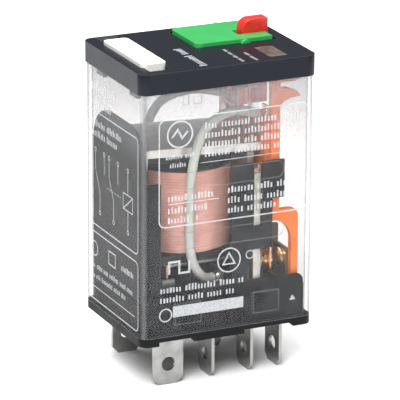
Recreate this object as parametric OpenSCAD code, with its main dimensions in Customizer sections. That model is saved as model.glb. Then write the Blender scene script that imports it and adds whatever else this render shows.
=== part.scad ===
// Plug-in power relay with two changeover poles, a clear case and a test button.
// The origin is the centre of the base's seating face. +Z points up through the cap,
// the wide printed side faces -Y and the coil end is at -X. All sizes are millimetres.

/* [Body] */
// Overall width of the cap, along X
cap_w = 28; // [27.8:0.1:28.4]
// Overall depth of the cap, along Y
cap_d = 21.5; // [21.4:0.1:22]
// Height of the cap's top above the seating face
body_h = 41.3; // [41.3:0.1:42]
// Height of the cap's side
cap_side_h = 3.1; // [3:0.1:3.2]
// Corner radius of the cap, case and base
corner_r = 1.5; // [1:0.1:2]
// Wall of the clear case
case_wall = 0.7; // [0.6:0.05:0.7]
// Height of the base's visible rim
rim_h = 1.3; // [1.1:0.1:1.5]

/* [Terminals] */
// Width of a blade
blade_w = 4.8; // [4.6:0.1:4.8]
// Thickness of a blade
blade_t = 0.5; // [0.4:0.05:0.5]
// Length of a blade below the seating face
blade_len = 7.2; // [6:0.1:8]
// Radius of the eyelet in a blade
eyelet_r = 1.05; // [0.8:0.05:1.1]
// Distance of a pole's blades from the middle plane
pole_y = 5.6; // [5.5:0.05:5.7]

/* [Mechanism] */
// Angle that the armature turns when it pulls in
pull_angle = 2.8; // [2.4:0.1:2.8]
// Travel of the test button
button_travel = 1.4; // [1.2:0.1:1.5]
// Radius of the coil over its tape
coil_r = 7.4; // [7:0.1:7.4]
// Radius of a contact's head
contact_r = 1.5; // [1.2:0.1:1.6]
// Height of the contacts above the seating face
contact_z = 9.4; // [9.2:0.1:9.6]

/* [Top] */
// Size of the legend tag along X
tag_w = 3.9; // [3.7:0.1:4]
// Size of the legend tag along Y
tag_d = 14.5; // [14:0.1:14.6]
// Height of the lock-down door above the cap
door_proud = 0.5; // [0.4:0.1:0.6]
// Height of the test button above the door
button_proud = 2; // [1.8:0.1:2.2]

/* [Hidden] */
$fn = 64;
front = -1;
rear = 1;
poles = [front, rear];
cut = 0.5;                                  // how far a cutting tool runs past a face
slot_gap = 0.05;                            // clearance round a part in its slot

// Heights of the housing
case_inset = 0.2;
skirt_z = body_h - cap_side_h;
case_hx = cap_w / 2 - case_inset;
case_hy = cap_d / 2 - case_inset;
inner_hx = case_hx - case_wall;
inner_hy = case_hy - case_wall;
ceiling_z = body_h - 2;
deck_z = 6;                                 // top of the base inside the case
ridge_z = 7.8;
ridge_t = 0.5;
foot_relief = 0.6;
catch_depth = 0.4;                          // how far the catches reach into the case's wall

// Terminal positions
coil_blade_x = -8.3;
coil_blade_y = 7.5;
common_x = -1.2;
nc_x = 5.1;
no_x = 9.8;
blade_chamfer = 1;
eyelet_z = -4;
upright_w = 4;
foot_z = deck_z + 0.1;

// Magnet
coil_x = -3;
pivot_x = 5.2;
pivot_z = 26.6;
yoke_t = 1.1;
yoke_x1 = pivot_x + 0.5;
yoke_x0 = yoke_x1 - yoke_t;
yoke_z = 10;
flange_z0 = 11.2;
flange_z1 = 12.4;
flange_z2 = 24.8;
flange_z3 = 25.8;
bobbin_r = 3.8;
core_r = 3;
core_fit = 0.05;
pole_face_r = 4.2;
armature_t = 1.3;
air_gap = 0.1;

// Contact group
arm_x = pivot_x + 2.85;                     // left face of the moving springs
arm_t = 0.3;
contact_gap = 0.05;                         // clearance left between contact faces
contact_h = 0.7;
face_ratio = 0.6;
shank_r = 0.7;
shank_fit = 0.02;
fixed_h = 0.6;
nc_face_x = arm_x - contact_h - contact_gap;
moving_dx = (arm_x + arm_t + contact_h - pivot_x) * (cos(pull_angle) - 1)
    + (pivot_z - contact_z) * sin(pull_angle);
no_face_x = arm_x + arm_t + contact_h + moving_dx + contact_gap;
nc_plate_x = nc_face_x - fixed_h - blade_t;
no_plate_x = no_face_x + contact_h;
upright_top = contact_z + 1.8;

// Carrier
cheek_y0 = 7.9;
cheek_y1 = 8.9;
bridge_x0 = arm_x - 1.1;
bridge_z0 = 21.5;
bridge_z1 = 31;
band_x0 = 7.5;
band_x1 = 8.9;
post_x = arm_x + 0.85;                      // right face of the post that the button pushes
post_z = 33.5;
rivet_zs = [23.5, 29.5];
rivet_r = 0.5;
lead_z = 32;
flag_z = 37.2;

// Test button
button_x0 = 8;
button_x1 = 12.1;
button_y0 = 2.2;
button_y1 = 4.3;
wedge_gap = 0.1;
post_dx = (post_x - pivot_x) * (cos(pull_angle) - 1) - (post_z - pivot_z) * sin(pull_angle);
post_dz = (post_x - pivot_x) * sin(pull_angle) - (post_z - pivot_z) * (1 - cos(pull_angle));
wedge_slope = -post_dx / (button_travel + post_dz);

// Lock-down door
door_x0 = -0.6;
door_x1 = 11.6;
door_y0 = -0.4;
door_y1 = 9;
door_z0 = body_h - 1.1;
door_z1 = body_h + door_proud;
hinge_x = 7.1;
hinge_z = body_h - 0.2;
hinge_r = 0.65;
door_gap = 0.15;

// Legend tag and window
tag_x = -10.25;
tag_y = 0.15;
tag_z0 = body_h - 0.7;
tag_z1 = body_h + 0.45;
lens_x0 = 7.1;
lens_x1 = 10.1;
lens_y0 = -9;
lens_y1 = -3.1;

// Flexible lead of the front pole; the rear one is its mirror image
lead_r = 0.75;
lead_sides = 8;
lead_route = [
    [7.98, -5.6, 32], [6.6, -5.6, 32.05], [5, -5.7, 32.5], [3, -6.1, 32.9], [1, -6.6, 32.8],
    [-1, -7.3, 32.2], [-2.8, -7.9, 31], [-4, -8.3, 29], [-4.8, -8.5, 26.5], [-5.3, -8.55, 23],
    [-5.4, -8.55, 20], [-5.4, -8.55, 17], [-5.3, -8.5, 14], [-4.8, -8.4, 11.6],
    [-3.8, -8, 9.8], [-2.5, -7.3, 8.5], [-1.3, -6.6, 8], [-0.5, -6.35, 7.95], [0, -6.3, 7.95]
];

// A block given by its low and high corners
module block(low, high) {
    translate(low)
        cube(high - low);
}

// A rectangle about the origin with true round corners
module round_rect(w, d, r) {
    square([w - 2 * r, d], center = true);
    square([w, d - 2 * r], center = true);
    for (sx = [-1, 1], sy = [-1, 1])
        translate([sx * (w / 2 - r), sy * (d / 2 - r)])
            circle(r);
}

// An upright prism on a rounded rectangle
module round_block(w, d, r, z0, z1) {
    translate([0, 0, z0])
        linear_extrude(z1 - z0)
            round_rect(w, d, r);
}

// A rod along X from x0 to x1
module rod_x(r, x0, x1, y, z) {
    translate([x0, y, z])
        rotate([0, 90, 0])
            cylinder(r = r, h = x1 - x0);
}

// A rod along Y from y0 to y1
module rod_y(r, y0, y1, x, z) {
    translate([x, y1, z])
        rotate([90, 0, 0])
            cylinder(r = r, h = y1 - y0);
}

// A profile drawn in X and Z, given thickness along Y
module extrude_y(y0, y1) {
    translate([0, y1, 0])
        rotate([90, 0, 0])
            linear_extrude(y1 - y0)
                children();
}

// Front or rear copy of something drawn on the rear side
module on_side(side) {
    if (side == rear)
        children();
    else
        mirror([0, 1, 0])
            children();
}

// Turns the pulled-in armature back to its rest position
module at_rest() {
    translate([pivot_x, 0, pivot_z])
        rotate([0, pull_angle, 0])
            translate([-pivot_x, 0, -pivot_z])
                children();
}

// Outline of a blade with an eyelet, width along x and height along y
module blade_outline(top) {
    half = blade_w / 2;
    difference() {
        polygon([
            [-half, top], [-half, blade_chamfer - blade_len], [blade_chamfer - half, -blade_len],
            [half - blade_chamfer, -blade_len], [half, blade_chamfer - blade_len], [half, top]
        ]);
        translate([0, eyelet_z])
            circle(eyelet_r);
    }
}

// A blade whose flat sides face along X
module blade_facing_x(x, top) {
    translate([x - blade_t / 2, 0, 0])
        rotate([90, 0, 90])
            linear_extrude(blade_t)
                blade_outline(top);
}

// Contact terminal on the rear side: blade, foot and upright plate with a rivet hole
module contact_terminal(x, plate_x, top, riveted) {
    low_x = min(x - blade_t / 2, plate_x);
    high_x = max(x + blade_t / 2, plate_x + blade_t);
    y0 = pole_y - upright_w / 2;
    y1 = pole_y + upright_w / 2;
    difference() {
        union() {
            translate([0, pole_y, 0])
                blade_facing_x(x, foot_z);
            block([low_x, y0, foot_z], [high_x, y1, foot_z + blade_t]);
            block([plate_x, y0, foot_z], [plate_x + blade_t, y1, top]);
        }
        if (riveted)
            rod_x(shank_r + shank_fit, plate_x - cut, plate_x + blade_t + cut, pole_y, contact_z);
    }
}

// Coil terminal on the rear side: blade with a narrow solder tab
module coil_terminal() {
    tab_half = 1;
    tab_top = 9;
    translate([coil_blade_x, coil_blade_y + blade_t / 2, 0])
        rotate([90, 0, 0])
            linear_extrude(blade_t) {
                blade_outline(deck_z);
                translate([-tab_half, deck_z])
                    square([2 * tab_half, tab_top - deck_z]);
            }
}

// Contact head along +X with its base at the origin and a bevelled face
module contact_head(height) {
    bevel_h = 0.25;
    rotate([0, 90, 0]) {
        cylinder(r = contact_r, h = height - bevel_h);
        translate([0, 0, height - bevel_h])
            cylinder(r1 = contact_r, r2 = contact_r * face_ratio, h = bevel_h);
    }
}

// Slots in the base for one side's terminals and yoke tab, on the rear side
module terminal_slots() {
    half_t = blade_t / 2 + slot_gap;
    half_w = blade_w / 2 + slot_gap;
    for (x = [common_x, nc_x, no_x])
        block([x - half_t, pole_y - half_w, -cut], [x + half_t, pole_y + half_w, deck_z + cut]);
    block([coil_blade_x - half_w, coil_blade_y - half_t, -cut],
        [coil_blade_x + half_w, coil_blade_y + half_t, deck_z + cut]);
    block([yoke_x0 - slot_gap, 8.25, deck_z - 1 - slot_gap], [yoke_x1 + slot_gap, 9.24, deck_z + cut]);
}

// Relief round the blades in the underside, on the rear side
module underside_relief() {
    block([-11, 6.4, -cut], [-5.4, cap_d, foot_relief]);
    block([2.7, 2.6, -cut], [10.6, cap_d, foot_relief]);
    block([common_x - 0.8, 2.6, -cut], [common_x + 0.8, 8.6, foot_relief]);
}

// Low wall along the rear edge of the base, with round top corners
module base_ridge() {
    corner = 1;
    half = inner_hx - 0.6;
    extrude_y(inner_hy - 0.1 - ridge_t, inner_hy - 0.1) {
        translate([-half, rim_h])
            square([2 * half, ridge_z - rim_h - corner]);
        translate([corner - half, rim_h])
            square([2 * (half - corner), ridge_z - rim_h]);
        for (side = [-1, 1])
            translate([side * (half - corner), ridge_z - corner])
                circle(corner);
    }
}

// Catches that hold the clear case by recesses in its wall, on the rear side
module case_catches() {
    y0 = inner_hy - 0.3;
    y1 = inner_hy + catch_depth - slot_gap;
    for (x = [-8.3, 4.3])
        translate([x, 0, 0])
            rotate([90, 0, 90])
                linear_extrude(4)
                    polygon([[y0, 2.9], [y1, 2.9], [y1, 3.9], [y0 + 0.35, 5.85], [y0, 5.85]]);
}

module base() {
    color([0.07, 0.08, 0.09])
        difference() {
            union() {
                round_block(2 * case_hx, 2 * case_hy, corner_r, 0, rim_h);
                round_block(2 * inner_hx - 0.2, 2 * inner_hy - 0.2, 1, rim_h, deck_z);
                for (side = poles)
                    on_side(side) {
                        base_ridge();
                        case_catches();
                    }
            }
            for (side = poles)
                on_side(side) {
                    underside_relief();
                    terminal_slots();
                }
            block([6.35, -0.45, deck_z - 1.05], [inner_hx, 0.45, deck_z + cut]);
        }
}

// Rib with round ends inside the case's rear wall
module wall_bar(x0, x1, z0, z1) {
    r = (z1 - z0) / 2 - 0.01;
    extrude_y(inner_hy - 0.15, inner_hy + 0.1)
        translate([(x0 + x1) / 2, (z0 + z1) / 2])
            round_rect(x1 - x0, z1 - z0, r);
}

module clear_case() {
    color([0.85, 0.88, 0.9, 0.3])
        union() {
            difference() {
                round_block(2 * case_hx, 2 * case_hy, corner_r, rim_h, skirt_z);
                round_block(2 * inner_hx, 2 * inner_hy, corner_r - case_wall, rim_h - cut, skirt_z + cut);
                for (side = poles, x = [-8.4, 4.2])
                    on_side(side)
                        block([x, inner_hy - cut, 2.8], [x + 4.2, inner_hy + catch_depth, 6]);
            }
            for (side = poles)
                on_side(side) {
                    wall_bar(-10.3, 9.2, 14.1, 16.6);
                    wall_bar(-10.3, 9.2, 23.2, 25.7);
                    block([1.8, inner_hy - 0.4, 29.5], [2.8, inner_hy + 0.1, 37.3]);
                    block([3.6, inner_hy - 0.4, 29.5], [4.9, inner_hy + 0.1, 37.3]);
                }
        }
}

// Round-bottomed notch that holds one of the door's trunnions
module trunnion_notch(y0, y1) {
    r = hinge_r + 0.1;
    rod_y(r, y0, y1, hinge_x, hinge_z);
    block([hinge_x - r, y0, hinge_z], [hinge_x + r, y1, body_h + cut]);
}

// Finger scoops at both ends of the tag
module finger_scoops() {
    half = tag_w / 2 - 0.3;
    tag_end = tag_y + tag_d / 2;
    rear_r = 6;
    front_r = 3;
    rod_x(rear_r, tag_x - half, tag_x + half, tag_end, tag_z0 + rear_r);
    rod_x(front_r, tag_x - half, tag_x + half, tag_y - tag_d / 2, tag_z0 + front_r);
}

// Clips of the cap that reach down inside the ends of the case
module cap_clips() {
    for (sx = [-1, 1], y = [-7, 5])
        translate([sx * (inner_hx - 0.4), y + 1.3, 0])
            block([-0.3, -1.3, skirt_z - 1.4], [0.3, 1.3, ceiling_z + 0.1]);
}

module top_cap() {
    color([0.11, 0.12, 0.14])
        union() {
            difference() {
                round_block(cap_w, cap_d, corner_r, skirt_z, body_h);
                round_block(2 * inner_hx, 2 * inner_hy, corner_r - case_wall, skirt_z - cut, ceiling_z);
                translate([tag_x, tag_y, 0])
                    round_block(tag_w + 0.2, tag_d + 0.2, 0.9, tag_z0, body_h + cut);
                block([door_x0 - door_gap, door_y0 - door_gap, door_z0 - 0.1],
                    [button_x1 + door_gap, door_y1 + door_gap, body_h + cut]);
                block([hinge_x - 1.05, door_y0 - door_gap, ceiling_z - cut],
                    [button_x1 + door_gap, door_y1 + door_gap, body_h]);
                trunnion_notch(door_y0 - 0.8, door_y0);
                trunnion_notch(door_y1, door_y1 + 0.8);
                finger_scoops();
                translate([(lens_x0 + lens_x1) / 2, (lens_y0 + lens_y1) / 2, 0]) {
                    round_block(lens_x1 - lens_x0, lens_y1 - lens_y0, 0.5, body_h - 1, body_h + cut);
                    round_block(lens_x1 - lens_x0 - 1.2, lens_y1 - lens_y0 - 1.2, 0.3,
                        ceiling_z - cut, body_h);
                }
            }
            cap_clips();
        }
}

module window_lens() {
    color([0.5, 0.3, 0.2, 0.5])
        translate([(lens_x0 + lens_x1) / 2, (lens_y0 + lens_y1) / 2, 0])
            round_block(lens_x1 - lens_x0 - 0.04, lens_y1 - lens_y0 - 0.04, 0.48,
                body_h - 1, body_h - 0.15);
}

module id_tag() {
    color([0.93, 0.94, 0.93])
        translate([tag_x, tag_y, 0])
            round_block(tag_w, tag_d, 0.8, tag_z0, tag_z1);
}

module lock_door() {
    corner = 1;
    middle_y = (door_y0 + door_y1) / 2;
    color([0.2, 0.72, 0.37])
        union() {
            difference() {
                union() {
                    translate([door_x0 + 3, middle_y, 0])
                        round_block(6, door_y1 - door_y0, corner, door_z0, door_z1);
                    block([door_x0 + 3, door_y0, door_z0], [door_x1, door_y1, door_z1]);
                }
                block([hinge_x + 0.1, button_y0 - door_gap, door_z0 - cut],
                    [door_x1 + cut, button_y1 + door_gap, door_z1 + cut]);
            }
            rod_y(hinge_r, door_y0 - 0.7, door_y0 + 0.1, hinge_x, hinge_z);
            rod_y(hinge_r, door_y1 - 0.1, door_y1 + 0.7, hinge_x, hinge_z);
        }
}

// Red button, whose stem has a sloping side that pushes the carrier's post
module test_button() {
    top = door_z1 + button_proud;
    round_top = 1.6;
    bottom = 31;
    tip_x = post_x + wedge_gap;
    slope_end = post_z + (tip_x - button_x0) / wedge_slope;
    color([0.85, 0.21, 0.17])
        union() {
            extrude_y(button_y0, button_y1) {
                polygon([
                    [tip_x + (post_z - bottom) * wedge_slope, bottom], [button_x1, bottom],
                    [button_x1, top], [button_x0 + round_top, top],
                    [button_x0, top - round_top], [button_x0, slope_end]
                ]);
                translate([button_x0 + round_top, top - round_top])
                    circle(round_top);
            }
            block([button_x1 - 0.1, button_y0, ceiling_z - 1], [button_x1 + 0.6, button_y1, ceiling_z - 0.05]);
        }
}

module coil_terminal_front() {
    color([0.72, 0.73, 0.74])
        on_side(front)
            coil_terminal();
}

module coil_terminal_rear() {
    color([0.72, 0.73, 0.74])
        on_side(rear)
            coil_terminal();
}

module common_terminal(side) {
    jog = 1.55;
    color([0.72, 0.73, 0.74])
        on_side(side)
            contact_terminal(common_x, common_x - blade_t / 2 + jog, 9.2, false);
}

module common_terminal_front() {
    common_terminal(front);
}

module common_terminal_rear() {
    common_terminal(rear);
}

module nc_terminal(side) {
    color([0.72, 0.73, 0.74])
        on_side(side)
            contact_terminal(nc_x, nc_plate_x, upright_top, true);
}

module nc_terminal_front() {
    nc_terminal(front);
}

module nc_terminal_rear() {
    nc_terminal(rear);
}

module no_terminal(side) {
    color([0.72, 0.73, 0.74])
        on_side(side)
            contact_terminal(no_x, no_plate_x, upright_top, true);
}

module no_terminal_front() {
    no_terminal(front);
}

module no_terminal_rear() {
    no_terminal(rear);
}

// Fixed contact rivet with its face towards +X and the plate's far side at the origin
module fixed_contact(head) {
    tail = 0.25;
    rod_x(1, -tail, 0, 0, 0);
    rod_x(shank_r, -tail, blade_t + 0.1, 0, 0);
    translate([blade_t, 0, 0])
        contact_head(head);
}

module nc_contacts() {
    color([0.85, 0.65, 0.35])
        for (side = poles)
            translate([nc_plate_x, side * pole_y, contact_z])
                fixed_contact(fixed_h);
}

module no_contacts() {
    color([0.85, 0.65, 0.35])
        for (side = poles)
            translate([no_plate_x + blade_t, side * pole_y, contact_z])
                mirror([1, 0, 0])
                    fixed_contact(contact_h);
}

module moving_contacts() {
    color([0.9, 0.72, 0.4])
        for (side = poles)
            translate([arm_x, side * pole_y, contact_z]) {
                mirror([1, 0, 0])
                    contact_head(contact_h);
                rod_x(shank_r, -0.1, arm_t + 0.1, 0, 0);
                translate([arm_t, 0, 0])
                    contact_head(contact_h);
            }
}

// Moving contact spring on the rear side
module moving_spring(side) {
    half = upright_w / 2;
    tab_half = 1.1;
    foot = contact_z - contact_r;
    color([0.8, 0.5, 0.32])
        on_side(side)
            difference() {
                translate([arm_x, pole_y, 0])
                    rotate([90, 0, 90])
                        linear_extrude(arm_t) {
                            translate([-half, foot])
                                square([2 * half, bridge_z1 - foot]);
                            translate([-tab_half, bridge_z1])
                                square([2 * tab_half, 2]);
                        }
                rod_x(shank_r + shank_fit, arm_x - cut, arm_x + arm_t + cut, pole_y, contact_z);
                for (z = rivet_zs)
                    rod_x(rivet_r + shank_fit, arm_x - cut, arm_x + arm_t + cut, pole_y, z);
            }
}

module moving_spring_front() {
    moving_spring(front);
}

module moving_spring_rear() {
    moving_spring(rear);
}

module spring_rivets() {
    head_r = 0.9;
    head_h = 0.35;
    color([0.7, 0.71, 0.72])
        for (side = poles, z = rivet_zs) {
            rod_x(head_r, bridge_x0 - head_h, bridge_x0, side * pole_y, z);
            rod_x(rivet_r, bridge_x0 - head_h, arm_x + arm_t + head_h, side * pole_y, z);
            rod_x(head_r, arm_x + arm_t, arm_x + arm_t + head_h, side * pole_y, z);
        }
}

// Armature in its pulled-in position: plate with a bent-down end and a tongue
module armature_plate() {
    z0 = pivot_z + air_gap;
    half = 6.8;
    tongue_half = 3.4;
    left = -12.1;
    lip_t = 0.9;
    lip_drop = 2.1;
    extrude_y(-half, half) {
        translate([left + armature_t, z0])
            square([6.9 - left - armature_t, armature_t]);
        intersection() {
            translate([left + armature_t, z0])
                circle(armature_t);
            translate([left, z0])
                square(armature_t);
        }
        translate([left, z0 - lip_drop])
            square([lip_t, lip_drop]);
    }
    block([6.8, -tongue_half, z0], [arm_x, tongue_half, z0 + armature_t]);
}

module armature() {
    color([0.8, 0.8, 0.8])
        at_rest()
            armature_plate();
}

// Side outline of the carrier's cheek: upright band, curved arm and leg
module cheek_outline() {
    arm_z0 = 16.3;
    arm_z1 = 17.8;
    leg_x0 = 10.9;
    leg_x1 = 12;
    leg_z0 = 6.6;
    outer_r = 1.2;
    inner_r = leg_x0 - 7.6;
    difference() {
        union() {
            translate([band_x0, arm_z0])
                square([band_x1 - band_x0, 35 - arm_z0]);
            translate([band_x0, leg_z0])
                square([leg_x1 - outer_r - band_x0, arm_z1 - leg_z0]);
            translate([band_x0, leg_z0])
                square([leg_x1 - band_x0, arm_z1 - outer_r - leg_z0]);
            translate([leg_x1 - outer_r, arm_z1 - outer_r])
                circle(outer_r);
        }
        translate([leg_x0 - inner_r, arm_z0 - inner_r])
            circle(inner_r);
        translate([band_x0 - cut, leg_z0 - cut])
            square([leg_x0 - band_x0 + cut, arm_z0 - inner_r - leg_z0 + cut]);
        translate([band_x0 - cut, leg_z0 - cut])
            square([leg_x0 - inner_r - band_x0 + cut, arm_z0 - leg_z0 + cut]);
    }
}

// Beak and upper web of the position flag, on the front cheek
module flag_outline() {
    polygon([
        [band_x0, 33.4], [8.8, 33.4], [9.4, 34.2], [10.6, 34.7], [12.3, 34.8], [11.5, 35.7],
        [10.2, 36.2], [8.9, 36.4], [8.9, flag_z + 0.1], [band_x0, flag_z + 0.1]
    ]);
}

module contact_carrier() {
    color([0.94, 0.43, 0.2])
        difference() {
            union() {
                block([bridge_x0, -cheek_y0, bridge_z0], [arm_x, cheek_y0, bridge_z1]);
                for (side = poles)
                    on_side(side)
                        extrude_y(cheek_y0, cheek_y1)
                            cheek_outline();
                extrude_y(-cheek_y1, -cheek_y0)
                    flag_outline();
                block([7.3, -cheek_y1, flag_z], [11.5, -3.3, flag_z + 0.8]);
                block([7.2, 1.9, bridge_z1 - 0.1], [arm_x, 4.35, post_z]);
                block([arm_x - 0.1, 1.9, bridge_z1 + slot_gap], [post_x, 4.35, post_z]);
            }
            at_rest()
                armature_plate();
            for (side = poles, z = rivet_zs)
                rod_x(rivet_r + shank_fit, bridge_x0 - cut, arm_x + cut, side * pole_y, z);
        }
}

module yoke() {
    half = 5.5;
    edge = 9.2;
    tab_y = 8.3;
    color([0.78, 0.79, 0.8])
        difference() {
            union() {
                block([-7.5, -half, yoke_z], [yoke_x1, half, flange_z0]);
                block([yoke_x0, -8.8, yoke_z], [yoke_x1, 8.8, pivot_z - 2]);
                block([yoke_x0, -6.9, pivot_z - 2.1], [yoke_x1, 6.9, pivot_z]);
                block([yoke_x0, -edge, 16], [yoke_x1, edge, 24]);
                for (side = poles)
                    on_side(side)
                        block([yoke_x0, tab_y, deck_z - 1], [yoke_x1, edge, 12.4]);
                block([yoke_x1 - 0.1, -0.9, 13], [8.3, 0.9, 13.75]);
            }
            translate([coil_x, 0, yoke_z - cut])
                cylinder(r = 1.85, h = 3);
        }
}

module core() {
    ring_x = coil_x - 1.6;
    color([0.7, 0.7, 0.7])
        difference() {
            translate([coil_x, 0, 0]) {
                translate([0, 0, yoke_z - 0.5])
                    cylinder(r = 2.6, h = 0.5);
                translate([0, 0, yoke_z - 0.1])
                    cylinder(r = 1.8, h = flange_z0 - yoke_z + 0.2);
                translate([0, 0, flange_z0])
                    cylinder(r = core_r, h = flange_z3 - flange_z0);
                translate([0, 0, flange_z3])
                    cylinder(r = pole_face_r, h = pivot_z - flange_z3);
            }
            translate([ring_x, 0, pivot_z - 0.6])
                difference() {
                    cylinder(r = 2.25, h = 1);
                    translate([0, 0, -cut])
                        cylinder(r = 1.45, h = 2);
                }
        }
}

module shading_ring() {
    color([0.8, 0.45, 0.25])
        translate([coil_x - 1.6, 0, pivot_z - 0.6])
            difference() {
                cylinder(r = 2.2, h = 0.55);
                translate([0, 0, -cut])
                    cylinder(r = 1.5, h = 2);
            }
}

module bobbin() {
    low_w = 15.9;
    color([0.16, 0.17, 0.18])
        difference() {
            union() {
                translate([coil_x - 0.45, 0, 0])
                    round_block(low_w, 15, 1, flange_z0, flange_z1);
                translate([coil_x, 0, flange_z1])
                    cylinder(r = bobbin_r, h = flange_z2 - flange_z1);
                translate([coil_x, 0, flange_z2])
                    cylinder(r = 7.5, h = flange_z3 - flange_z2);
            }
            translate([coil_x, 0, flange_z0 - cut])
                cylinder(r = core_r + core_fit, h = flange_z3);
        }
}

// Ring round the coil's axis, between the bobbin's flanges
module coil_ring(r0, r1) {
    gap = 0.05;
    translate([coil_x, 0, flange_z1 + gap])
        difference() {
            cylinder(r = r1, h = flange_z2 - flange_z1 - 2 * gap);
            translate([0, 0, -cut])
                cylinder(r = r0, h = flange_z2);
        }
}

module coil_winding() {
    color([0.72, 0.38, 0.22])
        coil_ring(bobbin_r + 0.05, coil_r - 0.2);
}

module coil_tape() {
    color([0.93, 0.62, 0.55])
        coil_ring(coil_r - 0.15, coil_r);
}

module coil_wires() {
    wire_r = 0.2;
    color([0.8, 0.45, 0.25])
        for (side = poles)
            translate([coil_blade_x, side * (coil_blade_y - blade_t / 2 - wire_r - 0.01), 8])
                cylinder(r = wire_r, h = flange_z0 - 8 - 0.01);
}

module coil_shield() {
    x0 = -12.9;
    wall = 0.6;
    half = 9.2;
    side_z = 24.2;
    end_t = 0.5;
    end_h = 32 - deck_z;
    end_r = 5.6;
    color([0.22, 0.23, 0.24])
        union() {
            block([x0, -half, deck_z], [x0 + wall, half, side_z]);
            translate([x0, 0, deck_z])
                rotate([90, 0, 90])
                    linear_extrude(end_t) {
                        translate([-half, 0])
                            square([2 * half, end_h - end_r]);
                        translate([end_r - half, 0])
                            square([2 * (half - end_r), end_h]);
                        for (side = poles)
                            translate([side * (half - end_r), end_h - end_r])
                                circle(end_r);
                    }
            for (side = poles)
                on_side(side)
                    block([x0, half - wall, deck_z], [-10.2, half, side_z]);
        }
}

// Side shield of a pole, with a slot for the yoke's edge and a gap over the contacts
module arc_shield(side) {
    color([0.24, 0.25, 0.26])
        on_side(side)
            extrude_y(9.05, 9.6)
                difference() {
                    union() {
                        translate([1, 20])
                            square([8.4, 5.7]);
                        translate([1, 12.5])
                            square([6.5, 8]);
                        translate([1, ridge_z])
                            square([2.8, 5]);
                    }
                    translate([yoke_x0 - 0.1, 15.9])
                        square([yoke_t + 0.2, 12]);
                }
}

module arc_shield_front() {
    arc_shield(front);
}

module arc_shield_rear() {
    arc_shield(rear);
}

module pole_barrier() {
    color([0.35, 0.28, 0.22])
        block([6.4, -0.4, deck_z - 1], [inner_hx - 0.15, 0.4, 12.6]);
}

// Space of the coiled return spring between the yoke's tab and the carrier
module return_spring() {
    color([0.8, 0.8, 0.8])
        translate([7.5, 0, 13.8])
            difference() {
                cylinder(r = 1.1, h = bridge_z0 - 13.8 - 0.05);
                translate([0, 0, -cut])
                    cylinder(r = 0.8, h = bridge_z0);
            }
}

function unit(v) = v / norm(v);

function heading(path, i) = unit(path[min(i + 1, len(path) - 1)] - path[max(i - 1, 0)]);

// Ring of points round the path's point i; the path never runs along Y
function lead_ring(path, i) =
    let (t = heading(path, i), u = unit(cross(t, [0, 1, 0])), v = cross(t, u))
    [for (k = [0:lead_sides - 1])
        path[i] + lead_r * (cos(360 * k / lead_sides) * u + sin(360 * k / lead_sides) * v)];

// Halves each step of the path with a smooth middle point
function smoothed(path) = [
    for (i = [0:len(path) - 2])
        for (half = [0, 1])
            let (a = path[max(i - 1, 0)], b = path[i], c = path[i + 1],
                d = path[min(i + 2, len(path) - 1)])
            half == 0 ? b : (9 * (b + c) - a - d) / 16,
    path[len(path) - 1]
];

module lead() {
    path = smoothed(lead_route);
    rings = len(path);
    points = [for (i = [0:rings - 1]) each lead_ring(path, i)];
    sides = [
        for (i = [0:rings - 2], k = [0:lead_sides - 1])
            let (a = i * lead_sides, j = (k + 1) % lead_sides)
            [a + k, a + lead_sides + k, a + lead_sides + j, a + j]
    ];
    start = [for (k = [0:lead_sides - 1]) k];
    end = [for (k = [lead_sides - 1:-1:0]) (rings - 1) * lead_sides + k];
    polyhedron(points, concat([start, end], sides), convexity = 6);
}

module lead_front() {
    color([0.78, 0.8, 0.77])
        lead();
}

module lead_rear() {
    color([0.78, 0.8, 0.77])
        mirror([0, 1, 0])
            lead();
}

base();
clear_case();
top_cap();
window_lens();
id_tag();
lock_door();
test_button();
coil_terminal_front();
coil_terminal_rear();
common_terminal_front();
common_terminal_rear();
nc_terminal_front();
nc_terminal_rear();
no_terminal_front();
no_terminal_rear();
nc_contacts();
no_contacts();
moving_contacts();
moving_spring_front();
moving_spring_rear();
spring_rivets();
contact_carrier();
armature();
yoke();
core();
shading_ring();
bobbin();
coil_winding();
coil_tape();
coil_wires();
coil_shield();
arc_shield_front();
arc_shield_rear();
pole_barrier();
return_spring();
lead_front();
lead_rear();
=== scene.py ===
"""Looks of a plug-in power relay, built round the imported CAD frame.

Lengths are in millimetres in the row's frame until a mesh is made, and metres in Blender. The wide
printed side faces -Y, the coil end is at -X and +Z points up through the cap.
"""

from __future__ import annotations

import logging
import math
import random
from dataclasses import dataclass, field
from enum import Enum

import bpy
from mathutils import Matrix, Vector

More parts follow.
